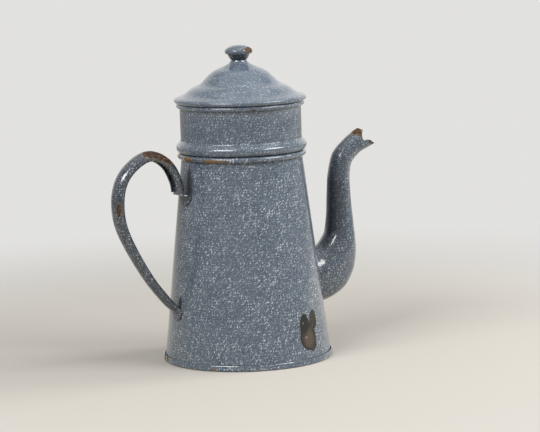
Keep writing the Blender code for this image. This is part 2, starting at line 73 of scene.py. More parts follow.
# %% [markdown]
# ## A shorthand for shader maths
#
# A procedural finish is arithmetic on places: how far is this point from a spot, how bright is the noise
# here. The class below wraps the output of a node, so that such sums can be written as Python
# expressions; each operator adds the Math node that does it.

# %% Wires
MM = 0.001


class Wire:
    """The output of a node, with arithmetic."""

    def __init__(self, tree, socket):
        self.tree = tree
        self.socket = socket

    def node(self, kind, settings, values, output=0):
        """Adds a node: its settings first, then what its inputs are fed, by their names or numbers."""
        made = self.tree.nodes.new("ShaderNode" + kind)
        for key, value in settings.items():
            setattr(made, key, value)
        for key, value in values.items():
            if isinstance(value, Wire):
                self.tree.links.new(value.socket, made.inputs[key])
            else:
                made.inputs[key].default_value = value
        return Wire(self.tree, made.outputs[output])

    def output(self, name):
        """Another output of the same node."""
        return Wire(self.tree, self.socket.node.outputs[name])

    def maths(self, operation, *values, clamp=False):
        return self.node("Math", {"operation": operation, "use_clamp": clamp}, dict(enumerate(values)))

    def __add__(self, other):
        return self.maths("ADD", self, other)

    __radd__ = __add__

    def __sub__(self, other):
        return self.maths("SUBTRACT", self, other)

    def __rsub__(self, other):
        return self.maths("SUBTRACT", other, self)

    def __mul__(self, other):
        return self.maths("MULTIPLY", self, other)

    __rmul__ = __mul__

    def __truediv__(self, other):
        return self.maths("DIVIDE", self, other)

    def clamped(self):
        return self.maths("ADD", self, 0.0, clamp=True)

    def absolute(self):
        return self.maths("ABSOLUTE", self)

    def root(self):
        return self.maths("SQRT", self)

    def least(self, other):
        return self.maths("MINIMUM", self, other)

    def most(self, other):
        return self.maths("MAXIMUM", self, other)

    def step(self, low, high):
        """0 below low, 1 above high, smooth between; low may be the larger."""
        values = {"Value": self, "From Min": low, "From Max": high}
        return self.node("MapRange", {"interpolation_type": "SMOOTHSTEP"}, values)

    def vector(self, operation, other=(0, 0, 0)):
        return self.node("VectorMath", {"operation": operation}, {0: self, 1: other})

    def scaled(self, factor):
        return self.node("VectorMath", {"operation": "SCALE"}, {0: self, "Scale": factor})

    def dot(self, other):
        return self.node("VectorMath", {"operation": "DOT_PRODUCT"}, {0: self, 1: other}, "Value")

    def length(self):
        return self.node("VectorMath", {"operation": "LENGTH"}, {0: self}, "Value")

    def blend(self, first, second):
        """Colours first and second, mixed by this wire."""
        return self.node("Mix", {"data_type": "RGBA"}, {0: self, 6: first, 7: second}, 2)

    def noise(self, size_mm, detail=2.0, shift=0.0):
        """Noise from 0 to 1 whose blotches are about size_mm across; this wire is the place."""
        place = self.vector("ADD", (shift, shift, shift)) if shift else self
        return place.node("TexNoise", {}, {"Vector": place, "Scale": 1 / (size_mm * MM), "Detail": detail})


def colour(red, green, blue):
    """A shader colour from the 0 to 255 numbers of a picture."""
    return tuple(((c / 255 + 0.055) / 1.055) ** 2.4 for c in (red, green, blue)) + (1.0,)


# %% [markdown]
# ## Light
#
# Glossy enamel shows its lights. The bright dashes on the chamber's shoulder and on the lid's rim say that
# two wide, low boxes hang on the left and on the right, and the even sheen of the lid comes from a third
# one overhead. A fourth stands behind on the right and lights the right edges of the pot and the spout. It
# is hidden from reflections, so that it adds no dash of its own. There is little light from the front, so
# that the spout, which the pot shades from the left, stays dark.

# %% Lamps
VIEW_TURN = math.radians(-28.0)
LAMP_DISTANCE = 1.5
LAMP_AIM = Vector((0, 0, 0.13))


def soft_box(name, turn, rise, width, height, watts):
    """An area lamp that looks at the pot; turn is measured from the camera, to its right."""
    lamp = bpy.data.lights.new(name, "AREA")
    lamp.shape = "RECTANGLE"
    lamp.size = width
    lamp.size_y = height
    lamp.energy = watts
    box = bpy.data.objects.new(name, lamp)
    turn = math.radians(turn) + VIEW_TURN
    rise = math.radians(rise)
    away = Vector((math.sin(turn) * math.cos(rise), -math.cos(turn) * math.cos(rise), math.sin(rise)))
    box.location = LAMP_AIM + away * LAMP_DISTANCE
    box.rotation_euler = away.to_track_quat("Z", "Y").to_euler()
    bpy.context.scene.collection.objects.link(box)
    print(name, "stands at", [round(place, 2) for place in box.location])
    return box


soft_box("left box", -37, 38, 0.85, 0.40, 16.0)
soft_box("right box", 66, 36, 0.95, 0.40, 13.5)
soft_box("top box", 20, 82, 2.2, 2.0, 9.0)
rim_box = soft_box("rim box", 108, 22, 0.6, 0.6, 14.0)
rim_box.visible_glossy = False

# %% [markdown]
# ## Surroundings
#
# The pot stands on pale paper in a pale room. The room lights the pot only a little. Behind the pot the
# backdrop is bright, and its reflection draws a light line along the edges of the pot; the rest of the
# room is reflected as a dim grey.

# %% Room
PAPER = (0.76, 0.755, 0.74, 1.0)
ROOM_LIGHT = 0.13
ROOM_SHINE = 0.65
BACKDROP_SHINE = 0.5
world = bpy.data.worlds.new("studio")
bpy.context.scene.world = world
bpy.context.scene.view_settings.view_transform = "Standard"
world.use_nodes = True
room = world.node_tree
background = room.nodes["Background"]
background.inputs["Color"].default_value = PAPER
rays = Wire(room, room.nodes.new("ShaderNodeLightPath").outputs["Is Camera Ray"])
looking = Wire(room, room.nodes.new("ShaderNodeTexCoord").outputs["Generated"])
backdrop = (math.sin(-VIEW_TURN), math.cos(-VIEW_TURN), 0)
behind = looking.dot(backdrop).step(0.50, 0.80)
glossy = rays.output("Is Glossy Ray")
mirrored = glossy * (behind * BACKDROP_SHINE + ROOM_SHINE)
lit = mirrored + (1 - glossy) * ROOM_LIGHT
strength = rays.most(rays.output("Is Transmission Ray")).most(lit)
room.links.new(strength.socket, background.inputs["Strength"])
print("room:", len(room.nodes), "nodes")

# %% [markdown]
# The floor is a sheet of matt paper under the pot that goes over into the backdrop without a line. So its
# colour is lit near the pot, where it takes the shadow, and glows like the backdrop further away.

# %% Floor
FLOOR_SHINE = 0.20
bpy.ops.mesh.primitive_plane_add(size=12.0, location=(0, 0, 0))
floor = bpy.context.object
floor.name = "floor"
paper = bpy.data.materials.new("pale paper")
paper.use_nodes = True
paper_tree = paper.node_tree
paper_shader = paper_tree.nodes["Principled BSDF"]
paper_shader.inputs["Base Color"].default_value = (0.53, 0.50, 0.45, 1.0)
paper_shader.inputs["Roughness"].default_value = 0.9
spot = Wire(paper_tree, paper_tree.nodes.new("ShaderNodeTexCoord").outputs["Object"])
rays = Wire(paper_tree, paper_tree.nodes.new("ShaderNodeLightPath").outputs["Is Camera Ray"])
seen = rays.most(rays.output("Is Transmission Ray")).most(rays.output("Is Glossy Ray") * FLOOR_SHINE)
glow = spot.node("Emission", {}, {"Color": PAPER})
even = spot.length().step(0.16, 0.75) * seen
surface = even.node("MixShader", {}, {0: even, 1: Wire(paper_tree, paper_shader.outputs[0]), 2: glow})
paper_tree.links.new(surface.socket, paper_tree.nodes["Material Output"].inputs["Surface"])
floor.data.materials.append(paper)
print("floor:", len(paper_tree.nodes), "nodes")

# %% [markdown]
# ## Small tools for modelling
#
# A metal spinner turns a flat disc against a block, so every round sheet of the pot is one line turned
# about the axis. The line is drawn as a chain of extruded points and then spun.

# %% Lines and lathe
SHEET = 1.0 * MM
ROUND = 128


def smooth(points, steps=4):
    """A Catmull-Rom curve through points of any length."""
    line = []
    last = len(points) - 1
    for i in range(last):
        a, b, c, d = points[max(i - 1, 0)], points[i], points[i + 1], points[min(i + 2, last)]
        for step in range(steps):
            t = step / steps
            line.append(tuple(
                0.5 * (2 * q + (r - p) * t + (2 * p - 5 * q + 4 * r - s) * t * t
                       + (3 * q - p - 3 * r + s) * t**3)
                for p, q, r, s in zip(a, b, c, d)
            ))
    line.append(tuple(points[last]))
    return line


def curl(centre, radius, first, last, steps):
    """Points of an arc; angles are in degrees from outward."""
    angles = [math.radians(first + (last - first) * i / steps) for i in range(steps + 1)]
    return [(centre[0] + radius * math.cos(a), centre[1] + radius * math.sin(a)) for a in angles]


def choose(piece):
    """Makes a piece the active object and the only selected one."""
    bpy.context.view_layer.objects.active = piece
    bpy.ops.object.select_all(action="DESELECT")
    piece.select_set(True)


def begin(name, add, **settings):
    """Adds a primitive at the origin, alone in the selection, and opens it for editing."""
    bpy.ops.object.select_all(action="DESELECT")
    add(**settings)
    piece = bpy.context.object
    piece.name = name
    piece.data.name = name
    bpy.ops.object.mode_set(mode="EDIT")
    return piece


def close_edit():
    """Turns every face outward and goes back to object mode."""
    bpy.ops.mesh.select_all(action="SELECT")
    bpy.ops.mesh.normals_make_consistent(inside=False)
    bpy.ops.object.mode_set(mode="OBJECT")


def draw_line(name, points):
    """Begins a piece with a chain of extruded points, in metres."""
    piece = begin(name, bpy.ops.mesh.primitive_plane_add, size=MM)
    bpy.ops.mesh.merge(type="CENTER")
    here = Vector((0, 0, 0))
    for point in points:
        there = Vector(point)
        if here.length:
            bpy.ops.mesh.extrude_region_move(TRANSFORM_OT_translate={"value": there - here})
        else:
            bpy.ops.transform.translate(value=there)
        here = there
    bpy.ops.mesh.select_all(action="SELECT")
    return piece


def apply(piece, name, kind, **settings):
    """Adds a modifier and applies it at once; two material slots let it mark a rim for the second one."""
    while len(piece.data.materials) < 2:
        piece.data.materials.append(None)
    bpy.context.view_layer.objects.active = piece
    modifier = piece.modifiers.new(name, kind)
    for key, value in settings.items():
        setattr(modifier, key, value)
    bpy.ops.object.modifier_apply(modifier=name)


def soften(piece, width, angle):
    """Rounds the edges of a piece at which it turns by more than an angle in degrees."""
    limit = math.radians(angle)
    apply(piece, "edges", "BEVEL", width=width, segments=2, limit_method="ANGLE", angle_limit=limit)


def spin_line(name, line, steps=ROUND):
    """Turns a line of (radius, height) in mm, which runs down the outside, about the pot's axis."""
    piece = draw_line(name, [(radius * MM, 0, height * MM) for radius, height in line])
    bpy.ops.mesh.spin(steps=steps, angle=math.tau, center=(0, 0, 0), axis=(0, 0, 1))
    bpy.ops.mesh.select_all(action="SELECT")
    bpy.ops.mesh.remove_doubles(threshold=0.01 * MM)
    close_edit()
    return piece


def finish(piece, node, body, material, sharp=35, rim=None):
    """Shades a piece smoothly, lets it stand for its solid and ride on its body."""
    choose(piece)
    bpy.ops.object.shade_smooth_by_angle(angle=math.radians(sharp))
    piece.data.materials.clear()
    piece.data.materials.append(material)
    if rim:
        piece.data.materials.append(rim)
    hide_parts(*node)
    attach(piece, body)
    low = [min(v.co[k] for v in piece.data.vertices) for k in range(3)]
    high = [max(v.co[k] for v in piece.data.vertices) for k in range(3)]
    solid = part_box(node[0])
    print(piece.name, len(piece.data.polygons), "faces, off its solid's box by mm",
          [round((a - b) * 1000, 2) for a, b in zip(low + high, list(solid[0]) + list(solid[1]))])


# %% [markdown]
# ## Enamel
#
# The iron is dipped in blue-grey glass slurry and spattered with white while it is wet, so the flecks
# are short strokes that lie flat in the coat and turn every way. Each cell of a Voronoi pattern carries
# one stroke: the cell's random colour gives its direction, length and width, and the distance from the
# stroke's line gives its edge. The direction is laid flat on the surface with the surface's normal.

# %% Flecks
FLECK_REACH = 0.6
FLECK_EDGE = 0.22


def flecks(place, normal, pitch_mm, length_mm, width_mm, share):
    """A mask of strokes, one in each cell pitch_mm across; share of the cells that have one."""
    here = place.scaled(1 / (pitch_mm * MM))
    cell = here.node("TexVoronoi", {"feature": "F1"}, {"Vector": here, "Scale": 1.0}, "Position")
    chance = cell.output("Color")
    split = chance.node("SeparateColor", {}, {0: chance})
    away = here.vector("SUBTRACT", cell)
    away = away.vector("SUBTRACT", normal.scaled(away.dot(normal)))
    turn = chance.vector("SUBTRACT", (0.5, 0.5, 0.5))
    turn = turn.vector("SUBTRACT", normal.scaled(turn.dot(normal))).vector("NORMALIZE")
    along = away.dot(turn).absolute()
    across = (away.dot(away) - along * along).most(0.0)
    red = split.output("Red")
    beyond = (along - red * red * (FLECK_REACH * length_mm / pitch_mm)).most(0.0)
    distance = (across + beyond * beyond).root()
    present = (split.output("Blue") - (1 - share)) / share
    half_width = present.step(0.0, 0.7) * (0.5 * width_mm / pitch_mm)
    edge = FLECK_EDGE * width_mm / pitch_mm
    return ((half_width - distance) * (1 / edge) + 0.2).clamped()


# %% [markdown]
# ## Wear
#
# Where the enamel is knocked off, the iron rusts in patches of dark and lighter brown, with a stained edge.
# Each damaged place is a ball around a point on the surface, stretched upward where the chip is tall, and
# noise frays its outline.

# %% Marks
def marks(place, spots, fray=0.35, size_mm=1.6):
    """A field that is under 1 inside any of the spots: (x, y, z, radius, stretch upward), mm."""
    field = None
    for x, y, z, radius, tall in spots:
        away = place.vector("SUBTRACT", (x * MM, y * MM, z * MM)).vector("MULTIPLY", (1, 1, 1 / tall))
        near = away.length() * (1 / (radius * MM))
        field = near if field is None else field.least(near)
    return field + (place.noise(size_mm, 4.0) - 0.5) * (2 * fray)


# %% [markdown]
# One function makes the enamel of every piece, because all were dipped in the same slurry. It lays two
# kinds of flecks and a haze over a cloudy blue-grey ground, then the wear of that piece and, where a piece
# needs it, painted shade. Rusty and chipped places are rough, have lost the gloss and lie a little deeper
# than the enamel.

# %% Enamel of a piece
RUST = ((42, 27, 20), (104, 66, 36), (146, 108, 64))
COAT = 0.6
ENAMEL_DEPTH = 0.10 * MM


def enamel(name, light=1.0, strokes=1.0, dense=1.0, rust=(), tones=RUST, bare=(), painted_shade=(), chalk=(),
           chip=None, grime_and_side_shade=None):
    """The speckled enamel of one piece, with its own rust, bare and chalky spots and chip, and its painted
    shade.
    """
    material = bpy.data.materials.new(name)
    material.use_nodes = True
    tree = material.node_tree
    shader = tree.nodes["Principled BSDF"]
    shader.inputs["Coat Roughness"].default_value = 0.025
    place = Wire(tree, tree.nodes.new("ShaderNodeTexCoord").outputs["Object"])
    normal = place.output("Normal")

    cloud = place.noise(14.0, 3.0)
    grain = place.noise(1.0, 3.0, 0.3)
    ground = (cloud * 0.5 + grain * 1.1 - 0.3).clamped()
    deep = colour(46 * light, 57 * light, 72 * light)
    pale = colour(98 * light, 110 * light, 123 * light)
    look = ground.blend(deep, pale)
    bent = place.noise(1.6, 2.0).output("Color").vector("SUBTRACT", (0.5, 0.5, 0.5)).scaled(0.8 * MM)
    wavy = place.vector("ADD", bent)
    patch = place.noise(9.0, 2.0, 0.9).step(0.30, 0.62) * 0.7 + 0.45
    haze = flecks(wavy, normal, 1.35, 1.0 * strokes, 0.80, 0.9) * (0.36 * dense)
    bright = flecks(wavy, normal, 2.2, 1.5 * strokes, 0.80, 0.7) * (grain * 0.9 + 0.3) * patch * dense
    dots = flecks(wavy.vector("ADD", (0.031, 0.017, 0.023)), normal, 1.7, 0.4, 0.72, 0.55) * patch
    look = haze.blend(look, colour(150, 162, 173))
    look = (dots * 0.60).blend(look, colour(188, 197, 203))
    look = (bright.clamped() * 0.88).blend(look, colour(208, 214, 217))
    rough = 0.16 + cloud * 0.10
    gloss = 1.0
    height = place.noise(6.0, 1.0, 0.7) * 0.35 + bright * 0.05

    if rust:
        field = marks(place, rust)
        inside = field.step(1.0, 0.93)
        edge = field.step(1.25, 0.95) * 0.75
        crust = place.vector("MULTIPLY", (0.4, 1, 1)).noise(1.3, 5.0, 0.11)
        brown = crust.step(0.42, 0.62).blend(colour(*tones[0]), colour(*tones[1]))
        brown = crust.step(0.58, 0.74).blend(brown, colour(*tones[2]))
        look = edge.blend(look, colour(112, 92, 66))
        look = inside.blend(look, brown)
        rough = rough + inside * 0.55
        gloss = 1.0 - inside
        height = height * (1 - inside) + inside * (crust * 1.4 - 1.6)
    # Painted shade: dark, matt patches that stand for shade and for the dark reflection of a nearby part.
    if painted_shade:
        shade_mask = marks(place, painted_shade, 0.2, 4.0).step(1.5, 0.35)
        look = (shade_mask * 0.85).blend(look, colour(20, 21, 24))
        rough = rough + shade_mask * 0.5
        gloss = gloss * (1 - shade_mask)
    if chalk:
        inside = marks(place, chalk, 0.3, 1.5).step(1.1, 0.85)
        look = (inside * 0.85).blend(look, colour(186, 190, 188))
        rough = rough + inside * 0.3
    # Painted shade: the side of the spout's neck that faces the pot is darkened, for the shade the pot
    # casts on it.
    if grime_and_side_shade:
        up = place.dot((0, 0, 1))
        neck = up.step(0.160, 0.130) * up.step(0.072, 0.100)
        side_shade_mask = normal.dot(grime_and_side_shade).step(-0.25, 0.85) * neck
        look = (side_shade_mask * 0.66).blend(look, colour(22, 25, 30))
    if bare:
        inside = marks(place, bare, 0.3, 1.0).step(1.05, 0.9)
        look = inside.blend(look, colour(34, 30, 30))
        rough = rough + inside * 0.4
        height = height - inside
    if chip:
        inside, iron, depth = chip(place)
        look = inside.blend(look, iron)
        rough = rough + inside * 0.5
        gloss = gloss * (1 - inside)
        height = height - depth
    bump = place.node("Bump", {}, {"Height": height, "Distance": ENAMEL_DEPTH, "Strength": 0.5})
    if isinstance(gloss, Wire):
        tree.links.new((gloss * COAT).socket, shader.inputs["Coat Weight"])
    else:
        shader.inputs["Coat Weight"].default_value = COAT
    tree.links.new(look.socket, shader.inputs["Base Color"])
    tree.links.new(rough.clamped().socket, shader.inputs["Roughness"])
    tree.links.new(bump.socket, shader.inputs["Normal"])
    print(name, len(tree.nodes), "nodes")
    return material


# %% [markdown]
# The largest chip is low on the wall, below the spout. A Mapping node moves the pattern's origin to it
# and turns it, so that x runs along the wall and z up; five ellipses there make the two lobes of the chip,
# and a limit in y keeps it on its own side of the pot. Its iron is nearly black at the top and left, and
# brownish pink where it was rubbed.

# %% Chip on the wall
CHIP_PLACE = (22.1 * MM, -59.3 * MM, 0)
CHIP_TURN = (0, 0, math.radians(20.4))


def wall_chip(place):
    """Mask, colour and depth of the chip."""
    here = place.node("Mapping", {"vector_type": "TEXTURE"}, {
        "Vector": place, "Location": CHIP_PLACE, "Rotation": CHIP_TURN, "Scale": (MM, MM, MM),
    })
    flat = here.vector("MULTIPLY", (1, 0, 1))
    wander = (place.noise(5.0, 3.0) - 0.5) * 0.22

    def oval(x, z, wide, tall):
        return flat.vector("SUBTRACT", (x, 0, z)).vector("MULTIPLY", (1 / wide, 1, 1 / tall)).length()

    main = oval(0.2, 21.0, 9.2, 9.8).least(oval(-2.9, 29.6, 5.4, 10.2)).least(oval(4.2, 16.6, 5.2, 6.6))
    side = oval(8.0, 34.0, 4.7, 7.2).least(oval(4.6, 30.0, 3.4, 4.6))
    field = main.least(side) + wander
    front = here.vector("MULTIPLY", (0, 1, 0)).length().step(22.0, 16.0)
    inside = field.step(1.03, 0.98) * front
    grime_and_side_shade = place.noise(2.2, 5.0, 0.5)
    iron = grime_and_side_shade.step(0.35, 0.65).blend(colour(44, 41, 34), colour(64, 59, 51))
    pink = (oval(0.3, 20.5, 6.0, 8.5) + (grime_and_side_shade - 0.5) * 1.6).step(1.15, 0.45)
    iron = (pink * 0.85).blend(iron, colour(88, 74, 64))
    dark = (oval(-4.5, 33.0, 6.5, 9.5) + (grime_and_side_shade - 0.5) * 0.6).step(1.30, 0.70)
    iron = (dark * 0.85).blend(iron, colour(25, 24, 23))
    ochre = (oval(-7.6, 17.0, 3.0, 5.0) + (grime_and_side_shade - 0.5) * 0.8).step(1.1, 0.5)
    iron = (ochre * 0.6).blend(iron, colour(56, 43, 20))
    rim = field.step(0.72, 0.98)
    iron = (rim * 0.85).blend(iron, colour(23, 22, 21))
    glint = oval(-2.6, 21.5, 1.3, 1.0).least(oval(-4.6, 32.8, 0.7, 0.8)).step(1.2, 0.6)
    iron = (glint * 0.7).blend(iron, colour(132, 128, 116))
    return inside, iron, inside * 3.0 - grime_and_side_shade * inside


# %% [markdown]
# ## Finishes of the pieces
#
# All pieces have the same enamel, but each was spattered and worn in its own way. The lid and the knob have
# short, sparse flecks, the handle and the spout are darkened as painted shade, and rust sits where a piece
# was knocked most: on the bead, the foot, the spout's lip, the top of the handle and the knob. Each spot is
# (x, y, z, radius, stretch upward) in mm.

# %% Materials of the pot
BEAD_RUST = ((96, 66, 40), (142, 106, 58), (172, 144, 92))
BASE_RUST = ((78, 58, 36), (120, 92, 52), (150, 122, 80))
# The dark patches beside the upper and lower ends of the handle are painted shade and painted dark
# reflection, where the strap shades the wall and shows in it.
wall_enamel = enamel("wall enamel", chip=wall_chip, tones=BEAD_RUST, rust=[
    (-49.0, 12.6, 163.6, 2.4, 1), (-50.2, -1.5, 162.8, 2.2, 1), (-50.0, -5.4, 162.4, 2.4, 1),
    (-49.2, -9.0, 162.0, 1.6, 1), (-44.9, -22.4, 162.3, 1.9, 0.8), (-42.6, -26.4, 162.2, 2.2, 0.8),
    (-40.0, -30.2, 162.2, 2.2, 0.8), (-36.9, -33.8, 162.2, 2.1, 0.8), (-33.6, -37.0, 162.2, 1.6, 0.8),
], painted_shade=[
    (-49.4, -3.5, 151.0, 3.2, 1.7), (-50.0, -4.2, 145.0, 4.6, 1.5), (-50.6, -5.5, 139.5, 5.0, 1.2),
    (-60.8, -2.6, 50.0, 3.0, 1.8),
])
base_enamel = enamel("base enamel", tones=BASE_RUST, rust=[
    (-64.5, 20.0, 3.0, 3.2, 1), (-66.0, 11.0, 3.5, 2.4, 1), (-62.6, -24.8, 1.0, 1.0, 1),
    (-53.2, -41.2, 1.8, 1.4, 0.7),
], bare=[(-66.2, -2.4, 4.6, 1.6, 0.8), (-64.2, -15.4, 4.4, 1.3, 0.8)])

# %% Materials of the spout and the handle
SPOUT_RUST = ((48, 30, 18), (100, 70, 34), (138, 108, 62))
EDGE_RUST = ((48, 30, 18), (90, 62, 34), (128, 100, 60))
STRAP_RUST = ((40, 24, 15), (78, 47, 28), (146, 112, 80))
SHADED_SIDE = (-0.95, -0.05, 0)
# Painted shade: the spout's enamel is a darker copy, and its side that faces the pot is darkened further
# for the pot's shade.
spout_enamel = enamel("spout enamel", light=0.88, strokes=0.5, dense=0.8, grime_and_side_shade=SHADED_SIDE,
                      tones=SPOUT_RUST, rust=[
    (104.8, -2.0, 172.6, 4.4, 1), (106.2, -6.0, 170.0, 2.4, 1), (106.5, -8.0, 167.4, 1.3, 1.6),
    (113.5, -8.6, 164.4, 1.5, 1), (117.0, -6.6, 162.8, 1.9, 1), (120.0, -3.0, 161.6, 2.3, 1),
    (120.0, 3.0, 161.6, 2.3, 1), (116.0, 7.0, 163.0, 1.6, 1), (105.2, 4.4, 171.6, 2.6, 1),
], chalk=[(63.4, -12.4, 70.8, 1.8, 1.6)])
# Painted shade: the handle's enamel is a darker copy, for the shade it lies in.
strap_enamel = enamel("strap enamel", light=0.66, strokes=0.6, dense=0.6, tones=STRAP_RUST, rust=[
    (-85.0, -4.2, 169.8, 4.2, 1), (-79.6, -4.2, 170.0, 5.0, 1), (-74.6, -4.4, 168.6, 5.2, 1),
    (-70.2, -4.8, 165.8, 4.6, 1), (-67.0, -5.4, 163.0, 3.2, 1), (-112.2, -6.1, 128.6, 2.1, 2.6),
], bare=[(-105.6, -3.6, 157.5, 1.0, 1.5)])
bracket_enamel = enamel("bracket enamel", light=0.62, strokes=0.4, dense=0.5)
# Painted light and real wear: this lighter enamel lies on the lips and edges, pale where the thin enamel
# wore, and on the inside of the handle's channel, lightened there as painted light against its shade.
lip_and_lit_inside_enamel = enamel("lip enamel", light=1.25, strokes=0.3, dense=0.6)
worn_edge = enamel("worn edge", light=0.6, dense=0.2, tones=EDGE_RUST, rust=[
    (114.0, 0.0, 168.0, 14.0, 1),
])

# %% Materials of the chamber, the lid and the loose pieces
KNOB_RUST = ((54, 38, 26), (98, 70, 46), (134, 108, 78))
chamber_enamel = enamel("chamber enamel", strokes=0.6, dense=0.8, rust=[
    (-45.0, 24.0, 202.2, 2.2, 1), (-14.3, -47.8, 201.6, 1.5, 0.7),
])
lid_enamel = enamel("lid enamel", light=1.12, strokes=0.35, dense=0.5)
knob_enamel = enamel("knob enamel", strokes=0.35, dense=0.6, tones=KNOB_RUST, rust=[
    (2.0, -9.6, 245.0, 2.6, 0.8), (6.0, -7.8, 245.6, 3.4, 0.8), (9.0, -4.6, 244.6, 3.0, 0.9),
])
# Painted shade: the stem under the knob's cap gets a much darker, nearly unflecked enamel for the shade
# under the cap.
shaded_stem_enamel = enamel("stem enamel", light=0.5, strokes=0.3, dense=0.05)
plain_enamel = enamel("plain enamel", light=0.9)

# %% [markdown]
# ## Pot wall
#
# The wall is a cone, rolled and welded. Its mouth is curled outward round a wire, which makes the bead
# that the filter chamber stands on.

# %% Pot wall
FOOT_RADIUS = 66.3
MOUTH_RADIUS = 47.65
MOUTH_HEIGHT = 163.125
TAPER = (FOOT_RADIUS - MOUTH_RADIUS) / MOUTH_HEIGHT
TO_MIDDLE = 0.5  # from the wall's outside to the middle of its sheet, mm


def wall_radius(height):
    """Outside of the wall at a height, in mm."""
    return FOOT_RADIUS - TAPER * height


bead = curl((48.825, MOUTH_HEIGHT), 1.675, -75, 186.5, 14)
wall_line = bead + [(wall_radius(z) - TO_MIDDLE, z) for z in (150, 120, 90, 60, 30, 2.5)]
pot_wall = spin_line("pot_wall", wall_line)
apply(pot_wall, "sheet", "SOLIDIFY", thickness=SHEET, offset=0, use_even_offset=True)
print("pot wall:", len(pot_wall.data.polygons), "faces before the opening")

# %% [markdown]
# Inside the spout's root the wall is cut away, so that coffee can leave the pot. A squashed cylinder
# lying on its side is the punch.

# %% Opening into the spout
punch = begin("punch", bpy.ops.mesh.primitive_cylinder_add, vertices=64, radius=1, depth=60 * MM)
bpy.ops.transform.resize(value=(19.4 * MM, 14.0 * MM, 1))
bpy.ops.transform.rotate(value=math.radians(90), orient_axis="Y", center_override=(0, 0, 0))
bpy.ops.transform.translate(value=(62 * MM, 0, 57.2 * MM))
bpy.ops.object.mode_set(mode="OBJECT")
apply(pot_wall, "opening", "BOOLEAN", operation="DIFFERENCE", object=punch, solver="EXACT")
bpy.data.objects.remove(punch)
finish(pot_wall, ["pot_body"], "pot", wall_enamel)

# %% [markdown]
# ## Bottom
#
# The bottom is a shallow dish whose edge is lapped up round the wall's foot. The lap ends in a rounded
# lip above a shallow groove, which catches a bright line of light.

# %% Bottom
bottom_line = (
    curl((66.95, 4.35), 0.5, 160, -30, 5)
    + [(67.12, 3.35), (67.18, 3.0), (67.5, 2.5)]
    + curl((66.2, 1.3), 1.3, 0, -90, 6)
    + [(64.2, 0.0), (62.8, 1.2), (40.0, 1.2), (20.0, 1.2), (0.0, 1.2)]
)
pot_base = spin_line("pot_base", bottom_line)
apply(pot_base, "sheet", "SOLIDIFY", thickness=0.6 * MM, offset=-1, use_even_offset=True)
finish(pot_base, ["pot_bottom"], "pot", base_enamel)

# %% [markdown]
# ## Filter chamber
#
# The chamber stands on the pot's bead with a rounded shoulder. Below it a narrower insert hangs in the
# pot's mouth, and its foot is turned in to carry a perforated sheet.

# %% Filter chamber
chamber_line = (
    [(48.85 + r, z) for r, z in curl((0, 202.75), 1.35, -75, 180, 12)]
    + [(47.5, 190.0)]
    + smooth([
        (47.5, 180.0), (47.5, 175.6), (48.07, 174.11), (49.49, 172.73), (50.63, 171.24), (51.06, 169.56),
        (50.78, 167.98), (49.85, 166.69), (48.69, 166.1),
    ])
    + [(45.35, 166.1), (45.35, 138.1), (42.35, 138.1)]
)
chamber = spin_line("chamber", chamber_line)
apply(chamber, "sheet", "SOLIDIFY", thickness=SHEET, offset=0, use_even_offset=True)
soften(chamber, 0.2 * MM, 50)
finish(chamber, ["filter_body"], "filter_section", chamber_enamel)

# %% [markdown]
# ## Lid
#
# The lid was pressed in steps: a rolled rim, a shallow ring, a dome and a short neck. Its edge is turned
# in underneath, where it rests on the chamber's bead.

# %% Lid
DOME_RADIUS = 52.3
DOME_FOOT = 204.9
DOME_RISE = 32.3
dome_shares = [
    (0.122, 1.000), (0.134, 0.962), (0.168, 0.912), (0.270, 0.836), (0.362, 0.774), (0.440, 0.694),
    (0.516, 0.578), (0.580, 0.470), (0.630, 0.417), (0.690, 0.378), (0.752, 0.322), (0.826, 0.228),
    (0.878, 0.179), (0.938, 0.143), (0.982, 0.112), (1.000, 0.073), (0.993, 0.033), (0.974, 0.000),
]
dome_line = smooth([(r * DOME_RADIUS, DOME_FOOT + z * DOME_RISE) for r, z in dome_shares], 6)
dome = spin_line("dome", dome_line + [(46.9, DOME_FOOT)])
apply(dome, "sheet", "SOLIDIFY", thickness=SHEET, offset=-1, use_even_offset=True)
finish(dome, ["lid_dome"], "lid", lid_enamel, 50)

# %% [markdown]
# The knob is two spun cups put mouth to mouth. The upper one is a flat dome with a rolled edge.

# %% Knob cap
CAP_RADIUS = 10.9
CAP_FOOT = 237.2
CAP_RISE = 12.1
KNOB_ROUND = 64
cap_shares = [(0.0, 1.0), (0.42, 0.96), (0.76, 0.84), (0.95, 0.71), (1.0, 0.59), (0.97, 0.48), (0.91, 0.42)]
cap_line = smooth([(r * CAP_RADIUS, CAP_FOOT + z * CAP_RISE) for r, z in cap_shares], 5)
cap = spin_line("cap", cap_line, KNOB_ROUND)
apply(cap, "sheet", "SOLIDIFY", thickness=SHEET, offset=-1, use_even_offset=True)
finish(cap, ["knob_cap"], "lid", knob_enamel, 50)

# %% [markdown]
# The lower cup is drawn out into a stem. Its foot passes through the lid's neck and is spread inside like a
# rivet, so the knob stays loose enough to be fitted but can't come off.

# %% Knob stem
stem_line = smooth([(8.61, 243.37), (7.85, 241.19), (6.65, 238.89), (5.88, 238.0)], 4)
rivet_line = [(4.78, 238.0), (4.78, 236.38), (5.56, 234.85), (7.58, 233.02)]
stem = spin_line("stem", stem_line + rivet_line, KNOB_ROUND)
apply(stem, "sheet", "SOLIDIFY", thickness=SHEET, offset=0, use_even_offset=True)
finish(stem, ["knob_stem"], "lid", shaded_stem_enamel)

# %% [markdown]
# ## Spout
#
# A gooseneck like this is pressed in two halves that are brazed along the middle. Its section is an
# ellipse that narrows upward. Rings are set along the neck between its two edges and bridged into a tube,
# which is then cut down the middle, one half for each pressing. The first two rings lie on the cone of
# the wall and make the narrow flange that is brazed to it.

